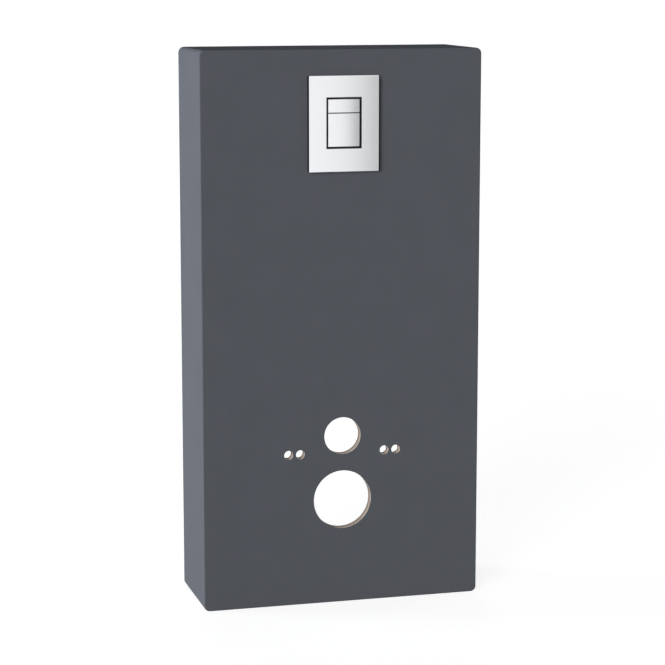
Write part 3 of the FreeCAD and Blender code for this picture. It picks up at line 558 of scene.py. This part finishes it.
# Flanged screws that hold the front board to the rails, at these distances from the middle.
BOARD_SCREWS = {"middle_rail": (165 * MM,), "stud_rail": (172 * MM,), "lower_rail": (70 * MM, 165 * MM)}
BOARD_WASHER = {"bore": 3 * MM, "rim": 7.5 * MM, "tall": 1.4 * MM}
BOARD_BOLT = {"across": 9 * MM, "tall": 4.4 * MM}


def board_screws():
    for rail, spots in BOARD_SCREWS.items():
        low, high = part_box(rail)
        for spot in spots:
            for x in (-spot, spot):
                place = Vector((x, low.y + SHEET, (low.z + high.z) / 2))
                yield from bolted(place, BACK, BOARD_WASHER, BOARD_BOLT)


# Two ribbed clips hold the lid at its back.
CLIP_X = 90 * MM
CLIP_SUNK = 1 * MM
CLIP_DROP = 4 * MM
CLIP_PAD = {"wide": 34 * MM, "tall": 26 * MM, "thick": 4.5 * MM, "radius": 4 * MM, "ease": 1.2 * MM}
CLIP_RIB = {"wide": 20 * MM, "tall": 3 * MM, "thick": 6 * MM, "radius": 1.4 * MM, "ease": 0.6 * MM}
CLIP_RIB_LEVELS = (7 * MM, 1 * MM)


def lid_clips():
    low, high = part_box("cistern_lid")
    for x in (-CLIP_X, CLIP_X):
        place = Vector((x, high.y - CLIP_SUNK, low.z - CLIP_DROP))
        yield placed(pad(**CLIP_PAD), place, BACK)
        for level in CLIP_RIB_LEVELS:
            yield placed(pad(**CLIP_RIB), place + level * UP, BACK)


# The seal's section round the lid: how much narrower it is there, its corner radius and its height.
SEAL_MARGIN = 2 * MM
SEAL_SECTION = ((8 * MM, 8 * MM, -2.2 * MM), (1 * MM, 11 * MM, -2.2 * MM), (0, 12 * MM, -1.2 * MM),
                (0, 12 * MM, 0.6 * MM), (8 * MM, 8 * MM, 0.6 * MM))


def lid_seal():
    low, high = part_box("cistern_lid")
    wide, deep = high.x - low.x - SEAL_MARGIN, high.y - low.y - SEAL_MARGIN
    rings = [rounded(wide - less, deep - less, radius, height) for less, radius, height in SEAL_SECTION]
    yield placed(skin(rings, looped=True), ((low.x + high.x) / 2, (low.y + high.y) / 2, low.z))


SUPPLY_THREAD = {"radius": 10.3 * MM, "rise": 0.7 * MM, "pitch": 1.8 * MM, "long": 12 * MM}
SUPPLY_THREAD_START = 14 * MM


def supply_thread():
    low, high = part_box("supply_nipple")
    middle = (low + high) / 2
    yield placed(thread(**SUPPLY_THREAD), (middle.x, high.y - SUPPLY_THREAD_START, middle.z), BACK)


# Rubber rings round the foot of the supply's hexagon and at the outlet's lower end.
SUPPLY_RING = {"bore": 12 * MM, "rim": 18 * MM, "tall": 2.4 * MM}
OUTLET_RING = {"bore": 22.4 * MM, "rim": 27.4 * MM, "tall": 3 * MM}
OUTLET_RING_SUNK = 1 * MM


def soft_rings():
    low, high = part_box("supply_nipple")
    middle = (low + high) / 2
    yield placed(washer(**SUPPLY_RING), (middle.x, low.y, middle.z), BACK)
    low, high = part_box("flush_outlet")
    middle = (low + high) / 2
    yield placed(washer(**OUTLET_RING), (middle.x, middle.y, low.z + OUTLET_RING_SUNK), -UP)


# Beads of glue along the inner corners of the boards.
GLUE = {"size": 4.5 * MM, "ripple": 24 * MM, "swell": 0.05}
GLUE_MARGIN = 4 * MM


def glue_beads():
    side_low, side_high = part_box("right_side_panel")
    inner, front, rear = side_low.x, front_high.y, side_high.y - GLUE_MARGIN
    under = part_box("top_panel")[0].z
    for way in (-1, 1):
        x, inward = way * inner, -way * ACROSS
        yield bead((x, front, GLUE_MARGIN), (x, front, under), inward, BACK, **GLUE)
        yield bead((x, front, under), (x, rear, under), inward, -UP, **GLUE)
    yield bead((-inner, front, under), (inner, front, under), BACK, -UP, **GLUE)


new_piece("rail_welds", "frame_paint", rail_welds(), BEAD_CREASE)
new_piece("foot_welds", "zinc_steel", foot_welds(), BEAD_CREASE)
new_piece("leg_locks", "zinc_steel", leg_locks())
new_piece("bar_threads", "zinc_steel", bar_threads())
new_piece("bracket_screws", "zinc_steel", bracket_screws())
new_piece("board_screws", "zinc_steel", board_screws())
new_piece("lid_clips", "pale_plastic", lid_clips())
new_piece("lid_seal", "dark_plastic", lid_seal())
new_piece("supply_thread", "brass", supply_thread())
new_piece("soft_rings", "dark_plastic", soft_rings())
new_piece("glue_beads", "pale_plastic", glue_beads(), BEAD_CREASE)


# Stage: a pale floor, soft suns on four sides and two cards that only reflections show.
# Camera, glossy and transmission rays see what is shown, and all other rays get the light.
def own_background(tree, shown, light):
    path = add_node(tree, "LightPath")
    seen = path.outputs["Is Camera Ray"]
    for ray in ("Is Glossy Ray", "Is Transmission Ray"):
        either = add_node(tree, "Math", operation="MAXIMUM")
        tree.links.new(seen, either.inputs[0])
        tree.links.new(path.outputs[ray], either.inputs[1])
        seen = either.outputs["Value"]
    mix = add_node(tree, "MixShader")
    tree.links.new(seen, mix.inputs["Fac"])
    tree.links.new(light, mix.inputs[1])
    tree.links.new(shown, mix.inputs[2])
    return mix.outputs["Shader"]


def studio_world(horizon, zenith):
    world = bpy.data.worlds.new("studio")
    bpy.context.scene.world = world
    world.use_nodes = True
    tree = world.node_tree
    tree.nodes.clear()
    shown = add_node(tree, "Background")
    light = add_node(tree, "Background")
    shown.inputs["Color"].default_value = (1, 1, 1, 1)
    shown.inputs["Strength"].default_value = 1
    height = add_node(tree, "SeparateXYZ")
    tree.links.new(add_node(tree, "TexCoord").outputs["Generated"], height.inputs["Vector"])
    level = spread(tree, height.outputs["Z"], horizon, zenith, start=0, end=0.8)
    tree.links.new(level, light.inputs["Strength"])
    output = add_node(tree, "OutputWorld")
    tree.links.new(own_background(tree, shown.outputs[0], light.outputs[0]), output.inputs["Surface"])


# One flat sheet with a material of its own, whose tree is still empty.
def stage_sheet(name, corners):
    mesh = bpy.data.meshes.new(name)
    mesh.from_pydata(corners, [], [(0, 1, 2, 3)])
    sheet = bpy.data.objects.new(name, mesh)
    bpy.context.scene.collection.objects.link(sheet)
    material = bpy.data.materials.new(name)
    material.use_nodes = True
    material.node_tree.nodes.clear()
    mesh.materials.append(material)
    return sheet, material.node_tree


def studio_floor(half, glow, pale, bounce):
    corners = [(-half, -half, 0), (half, -half, 0), (half, half, 0), (-half, half, 0)]
    floor, tree = stage_sheet("floor", corners)
    emission = add_node(tree, "Emission")
    emission.inputs["Strength"].default_value = glow
    shadowed, dull = add_node(tree, "BsdfDiffuse"), add_node(tree, "BsdfDiffuse")
    shadowed.inputs["Color"].default_value = (pale, pale, pale, 1)
    dull.inputs["Color"].default_value = (bounce, bounce, bounce, 1)
    shown = add_node(tree, "AddShader")
    tree.links.new(emission.outputs[0], shown.inputs[0])
    tree.links.new(shadowed.outputs[0], shown.inputs[1])
    output = add_node(tree, "OutputMaterial")
    tree.links.new(own_background(tree, shown.outputs[0], dull.outputs[0]), output.inputs["Surface"])


# Degrees from the front, to the right, and above the floor.
def toward(azimuth, height):
    turn, lift = math.radians(azimuth), math.radians(height)
    return Vector((math.sin(turn) * math.cos(lift), -math.cos(turn) * math.cos(lift), math.sin(lift)))


def sun(name, direction, level, spread_angle, colour=(1, 1, 1), mirrored=True):
    lamp = bpy.data.lights.new(name, "SUN")
    lamp.energy = level * math.pi
    lamp.angle = math.radians(spread_angle)
    lamp.color = colour
    lit = bpy.data.objects.new(name, lamp)
    bpy.context.scene.collection.objects.link(lit)
    lit.rotation_mode = "QUATERNION"
    lit.rotation_quaternion = direction.to_track_quat("Z", "Y")
    lit.visible_glossy = mirrored


# A card that only reflections show. Each grey has its place from the card's left, 0, to its right, 1.
def grey_card(place, greys, half_wide=0.25, half_high=0.4):
    x, y, z = place
    left, right = x - half_wide, x + half_wide
    low, high = z - half_high, z + half_high
    corners = [(left, y, low), (right, y, low), (right, y, high), (left, y, high)]
    card, tree = stage_sheet("grey_card", corners)
    across = add_node(tree, "SeparateXYZ")
    tree.links.new(surface_point(tree), across.inputs["Vector"])
    share = spread(tree, across.outputs["X"], 0, 1, left, right)
    emission = add_node(tree, "Emission")
    stops = [(at, (grey, grey, grey)) for at, grey in greys]
    tree.links.new(shades(tree, share, *stops), emission.inputs["Color"])
    output = add_node(tree, "OutputMaterial")
    tree.links.new(emission.outputs[0], output.inputs["Surface"])
    for ray in ("camera", "diffuse", "transmission", "shadow"):
        setattr(card, "visible_" + ray, False)


studio_world(horizon=0.42, zenith=0.02)
studio_floor(half=60, glow=0.83, pale=0.45, bounce=0.4)
sun("key", toward(-40, 9), level=0.97, spread_angle=36)
sun("left_side", toward(-112, 4), level=1.2, spread_angle=16, colour=(0.97, 1.0, 1.06))
sun("right_side", toward(112, 4), level=0.42, spread_angle=16)
sun("back", toward(172, 10), level=0.43, spread_angle=30, mirrored=False)
grey_card((0.4, -1.11, 0.95), greys=((0.24, 1.0), (0.33, 0.95), (0.43, 0.58), (0.52, 0.2)))
grey_card((-1.04, -1.11, 0.47), greys=((0.2, 0.45), (0.6, 1.0)))


# Camera at the photograph's viewing angle: metres, radians, and millimetres of lens and sensor.
CAMERA_PLACE = Vector((-1.1913, -4.3967, 1.3142))
CAMERA_YAW = 0.2658
CAMERA_PITCH = -0.165
CAMERA_LENS = 119.1
CAMERA_SENSOR = 36

camera_data = bpy.data.cameras.new("camera")
camera_data.lens = CAMERA_LENS
camera_data.sensor_width = CAMERA_SENSOR
camera = bpy.data.objects.new("camera", camera_data)
bpy.context.scene.collection.objects.link(camera)
camera.location = CAMERA_PLACE
level_turn = Matrix.Rotation(-CAMERA_YAW, 4, "Z")
tilt = Matrix.Rotation(math.pi / 2 + CAMERA_PITCH, 4, "X")
camera.rotation_euler = (level_turn @ tilt).to_euler()
bpy.context.scene.camera = camera
bpy.context.scene.view_settings.view_transform = "Standard"
